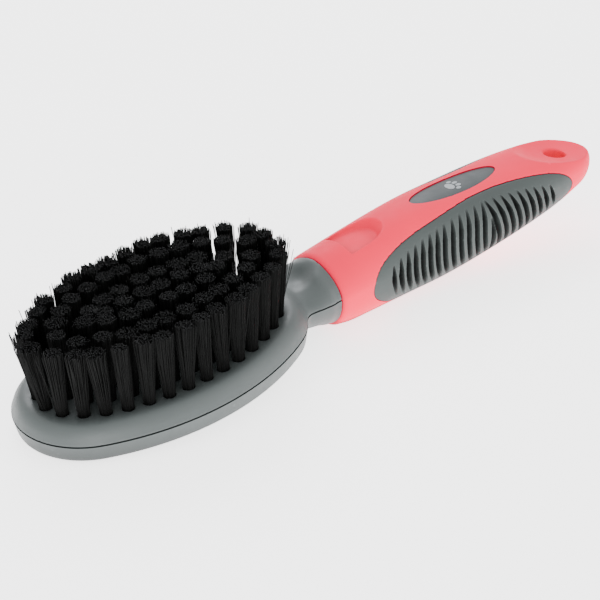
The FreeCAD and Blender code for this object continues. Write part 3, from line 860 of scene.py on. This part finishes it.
def plastic(name, colour, worn, roughness, grain, grain_depth, gloss=0.45, groove=0.6, hollow=None):
    """Moulded plastic or elastomer: slight cloudiness, a fine eroded grain, worn edges and painted shade in
    grooves and hollows.

    hollow holds the arguments of Recipe.hollows, which finds the hollows where shade is painted. Without it
    the grooves that get painted shade are found by the surface's bend. groove is how dark that painted shade
    is, as a share of the colour.
    """
    recipe = Recipe(name)
    darker = tuple(CLOUD_SHADE * part for part in colour)
    cloudy = recipe.mixed(recipe.ranged(recipe.noise(CLOUD_SCALE), 0, 1), darker, colour)
    used = recipe.mixed(recipe.edge(*WORN_EDGE), cloudy, worn)
    # Painted shade: grooves and hollows are darkened towards groove times the colour
    painted_shade_colour = tuple(groove * part for part in colour)
    painted_shade_share = recipe.hollows(*hollow) if hollow else recipe.edge(*PAINTED_SHADE_BEND)
    recipe.give("Base Color", recipe.mixed(painted_shade_share, used, painted_shade_colour))
    smear = recipe.noise(SMEAR_SCALE, 3.0)
    recipe.give("Roughness", recipe.ranged(smear, roughness - 0.05, roughness + 0.06))
    broad = recipe.bump(recipe.noise(BROAD_SCALE), grain_depth * 2)
    recipe.give("Normal", recipe.bump(recipe.noise(grain, 1.0), grain_depth, 0.8, broad))
    recipe.give("Specular IOR Level", gloss)
    return recipe.material


def nylon():
    """Black nylon filament: each one a little different, with paler cut ends."""
    recipe = Recipe("nylon_black")
    island = recipe.add("ShaderNodeNewGeometry").outputs["Random Per Island"]
    split = recipe.add("ShaderNodeSeparateXYZ")
    recipe.link(recipe.place, split.inputs["Vector"])
    top = (TUFT_TOP + SEAM_Z) * MM
    ends = recipe.ranged(split.outputs["Z"], 0.0, 1.0, top - 0.0012, top - 0.0002)
    strand = recipe.mixed(island, (0.0008, 0.0009, 0.0008), (0.004, 0.0042, 0.004))
    pale_share = recipe.ranged(island, 0.0, 1.0, 0.86, 1.0)
    flecked = recipe.mixed(pale_share, (0.001, 0.001, 0.001), (0.011, 0.012, 0.011))
    recipe.give("Base Color", recipe.mixed(ends, strand, flecked))
    recipe.give("Roughness", recipe.ranged(island, 0.4, 0.6, 0.0, 1.0))
    recipe.give("Normal", recipe.bump(recipe.noise(3000), 0.00001, 0.5))
    recipe.give("Specular IOR Level", 0.08)
    return recipe.material


def steel():
    """Drawn steel wire of the anchors."""
    recipe = Recipe("steel_wire")
    recipe.give("Metallic", 1.0)
    streaks = recipe.ranged(recipe.noise(900), 0, 1)
    recipe.give("Base Color", recipe.mixed(streaks, (0.5, 0.49, 0.47), (0.62, 0.61, 0.6)))
    recipe.give("Roughness", recipe.ranged(recipe.noise(2600, 4.0), 0.25, 0.45))
    recipe.give("Normal", recipe.bump(recipe.noise(5000), 0.000004))
    return recipe.material


def floor_paper():
    """Pale matt paper of a light table."""
    recipe = Recipe("studio_paper")
    clouds = recipe.ranged(recipe.noise(8), 0, 1)
    recipe.give("Base Color", recipe.mixed(clouds, (0.84, 0.84, 0.84), (0.87, 0.87, 0.87)))
    recipe.give("Roughness", 0.9)
    recipe.give("Emission Color", (1.0, 1.0, 1.0, 1.0))
    recipe.give("Emission Strength", 2.4)
    return recipe.material


# --------------------------------------------------------------------------------------------------
# Stage
# --------------------------------------------------------------------------------------------------
VIEW_AZIMUTH = -37.9
VIEW_ELEVATION = 32.1
VIEW_ROLL = -4.9
VIEW_DISTANCE = 728.7
VIEW_LENS = 140.4
VIEW_TARGET = (54.0, 0.0, -2.46)
SENSOR_WIDTH = 36

# Soft lights: name, place in metres, size in metres, power in watts and colour
LIGHTS = (
    ("front", (-0.9, -1.0, 0.45), 0.8, 12.0, (1, 1, 1)),
    ("back", (0.5, 0.9, 0.9), 0.7, 12.0, (0.93, 0.96, 1.0)),
    ("side", (0.9, -0.9, 0.5), 0.9, 6.0, (1, 1, 1)),
)
WORLD_STRENGTH = 1.45

# Floor: half its side and its gap under the brush, in metres, and how far the brush's resting edge is from
# the head's far end, in millimetres
FLOOR_HALF_SIZE = 6.0
FLOOR_GAP = 0.0002
REST_EDGE_INSET = 2.0


def make_camera():
    """The camera, in front of the head's left side and above it."""
    azimuth, elevation, roll = (math.radians(a) for a in (VIEW_AZIMUTH, VIEW_ELEVATION, VIEW_ROLL))
    back = Vector((math.sin(azimuth) * math.cos(elevation), -math.cos(azimuth) * math.cos(elevation),
                   math.sin(elevation)))
    right = (-back).cross(Vector((0, 0, 1))).normalized()
    up = right.cross(-back)
    rolled_right = math.cos(roll) * right + math.sin(roll) * up
    rolled_up = -math.sin(roll) * right + math.cos(roll) * up
    camera = bpy.data.objects.new("camera", bpy.data.cameras.new("camera"))
    camera.data.lens = VIEW_LENS
    camera.data.sensor_width = SENSOR_WIDTH
    camera.data.clip_start = 0.01
    camera.data.clip_end = 20
    turn = Matrix((rolled_right, rolled_up, back)).transposed().to_4x4()
    target = Vector(in_row(VIEW_TARGET))
    camera.matrix_world = Matrix.Translation(target + back * VIEW_DISTANCE * MM) @ turn
    bpy.context.scene.collection.objects.link(camera)
    bpy.context.scene.camera = camera


def rest_plane():
    """The plane the brush lies on, through the head's back edge and the belly: a point and the way up."""
    edge_x = -HEAD_HALF_LENGTH + REST_EDGE_INSET
    along = np.linspace(COLLAR_X, CAP_X, 200)
    depth = HANDLE_SIZES[2](along)
    lowest = np.argmin((BACK_DEPTH - depth) / (along - edge_x))
    head_edge = Vector(in_row((edge_x, 0, -BACK_DEPTH)))
    belly = Vector(in_row((along[lowest], 0, -depth[lowest])))
    slope = (belly - head_edge).normalized()
    up = Vector((0, -1, 0)).cross(slope).normalized()
    if up.z < 0:
        up = -up
    return belly - up * FLOOR_GAP, up


def make_floor():
    """A wide floor under the brush."""
    point, up = rest_plane()
    mesh = bpy.data.meshes.new("floor")
    corners = [(x * FLOOR_HALF_SIZE, y * FLOOR_HALF_SIZE, 0) for x, y in ((-1, -1), (1, -1), (1, 1), (-1, 1))]
    mesh.from_pydata(corners, [], [(0, 1, 2, 3)])
    floor = bpy.data.objects.new("floor", mesh)
    floor.matrix_world = Matrix.Translation(point) @ up.to_track_quat("Z", "Y").to_matrix().to_4x4()
    mesh.materials.append(floor_paper())
    bpy.context.scene.collection.objects.link(floor)


def make_light(name, place, size, power, colour):
    """A soft square light that faces the brush."""
    light = bpy.data.lights.new(name, "AREA")
    light.size = size
    light.energy = power
    light.color = colour
    lamp = bpy.data.objects.new(name, light)
    lamp.location = place
    lamp.rotation_mode = "QUATERNION"
    lamp.rotation_quaternion = (Vector(place) - Vector(in_row(VIEW_TARGET))).to_track_quat("Z", "Y")
    bpy.context.scene.collection.objects.link(lamp)


def make_stage():
    """Floor, lights and an even pale surround."""
    make_floor()
    for light in LIGHTS:
        make_light(*light)
    world = bpy.data.worlds.new("studio")
    world.use_nodes = True
    background = world.node_tree.nodes["Background"]
    background.inputs["Color"].default_value = (1, 1, 1, 1)
    background.inputs["Strength"].default_value = WORLD_STRENGTH
    bpy.context.scene.world = world


# --------------------------------------------------------------------------------------------------
# The brush
# --------------------------------------------------------------------------------------------------
# Grid steps of the moulded pieces, and how far out their grids reach from the design frame's origin
FRONT_STEP = 0.49
REAR_STEP = 0.46
SLEEVE_STEP = 0.49
GRIP_STEP = 0.28
BADGE_STEP = 0.25
PRINT_STEP = 0.1
FRONT_REACH_Z = 10
REAR_REACH_Z = -13
HANDLE_REACH_Y = 15.4
HANDLE_REACH_Z = (-16.6, 12.9)
GRIP_REACH_X = (72, 163)
GRIP_REACH_Z = (-15, 10.2)
BADGE_REACH_Z = (6, 12.6)
PRINT_REACH = (3.2, 3.4)
PRINT_REACH_Z = (9, 11.6)


def make_brush():
    """Every piece with its material."""
    # groove and hollow set how dark and where shade is painted into each material's grooves and hollows; the
    # grips' valleys are painted almost black
    abs_grey = plastic("abs_grey", (0.060, 0.071, 0.070), (0.085, 0.098, 0.097), roughness=0.46, grain=2600,
                       grain_depth=0.00002, groove=0.5, hollow=(0.010, 0.85, 0.45))
    coral = plastic("tpe_coral", (0.96, 0.004, 0.054), (0.97, 0.015, 0.07), roughness=0.55, grain=3200,
                    grain_depth=0.00002, gloss=0.15, groove=0.45, hollow=(0.006, 0.95, 0.6))
    grip_grey = plastic("tpe_grey", (0.044, 0.054, 0.052), (0.072, 0.084, 0.082), roughness=0.55, grain=3200,
                        grain_depth=0.00002, gloss=0.3, groove=0.04, hollow=(0.003, 0.78, 0.42))
    badge_grey = plastic("badge_grey", (0.034, 0.041, 0.044), (0.056, 0.065, 0.068), roughness=0.45,
                         grain=2600, grain_depth=0.00001, gloss=0.35)
    ink = plastic("badge_ink", (0.27, 0.29, 0.31), (0.36, 0.38, 0.40), roughness=0.5, grain=3000,
                  grain_depth=0.00001)

    half = HEAD_HALF_LENGTH
    wide = HEAD_HALF_WIDTH
    moulded("front_half", front_shell_field, (-half, -wide, 0), (CORE_END_X, wide, FRONT_REACH_Z), FRONT_STEP,
            abs_grey, "front_shell")
    moulded("rear_half", rear_shell_field, (-half, -wide, REAR_REACH_Z), (CORE_END_X, wide, 0), REAR_STEP,
            abs_grey, "rear_shell")
    moulded("sleeve", sleeve_field, (COLLAR_X, -HANDLE_REACH_Y, HANDLE_REACH_Z[0]),
            (HANDLE_END_X, HANDLE_REACH_Y, HANDLE_REACH_Z[1]), SLEEVE_STEP,
            coral, "handle_sleeve")
    points, faces = contour(grip_field, (GRIP_REACH_X[0], -HANDLE_REACH_Y, GRIP_REACH_Z[0]),
                            (GRIP_REACH_X[1], -GRIP_INNER_Y, GRIP_REACH_Z[1]), GRIP_STEP * COARSE)
    make_piece("side_grip_right", points, faces, grip_grey, "grip_right", GRIP_CREASE_ANGLE)
    make_piece("side_grip_left", points * [1, -1, 1], faces[:, ::-1], grip_grey, "grip_left",
               GRIP_CREASE_ANGLE)
    moulded("badge", badge_field, (BADGE_X - BADGE_HALF_LENGTH, -BADGE_HALF_WIDTH, BADGE_REACH_Z[0]),
            (BADGE_X + BADGE_HALF_LENGTH, BADGE_HALF_WIDTH, BADGE_REACH_Z[1]), BADGE_STEP,
            badge_grey, "badge_plate")
    moulded("badge_paw", print_field, (BADGE_X - PRINT_REACH[0], -PRINT_REACH[1], PRINT_REACH_Z[0]),
            (BADGE_X + PRINT_REACH[0], PRINT_REACH[1], PRINT_REACH_Z[1]), PRINT_STEP,
            ink, "badge_print")
    make_tufts(nylon())
    wire = steel()
    for name in TUFTS:
        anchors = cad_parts[f"anchors_{name}"]
        anchors.data.materials.clear()
        anchors.data.materials.append(wire)


make_camera()
make_stage()
make_brush()
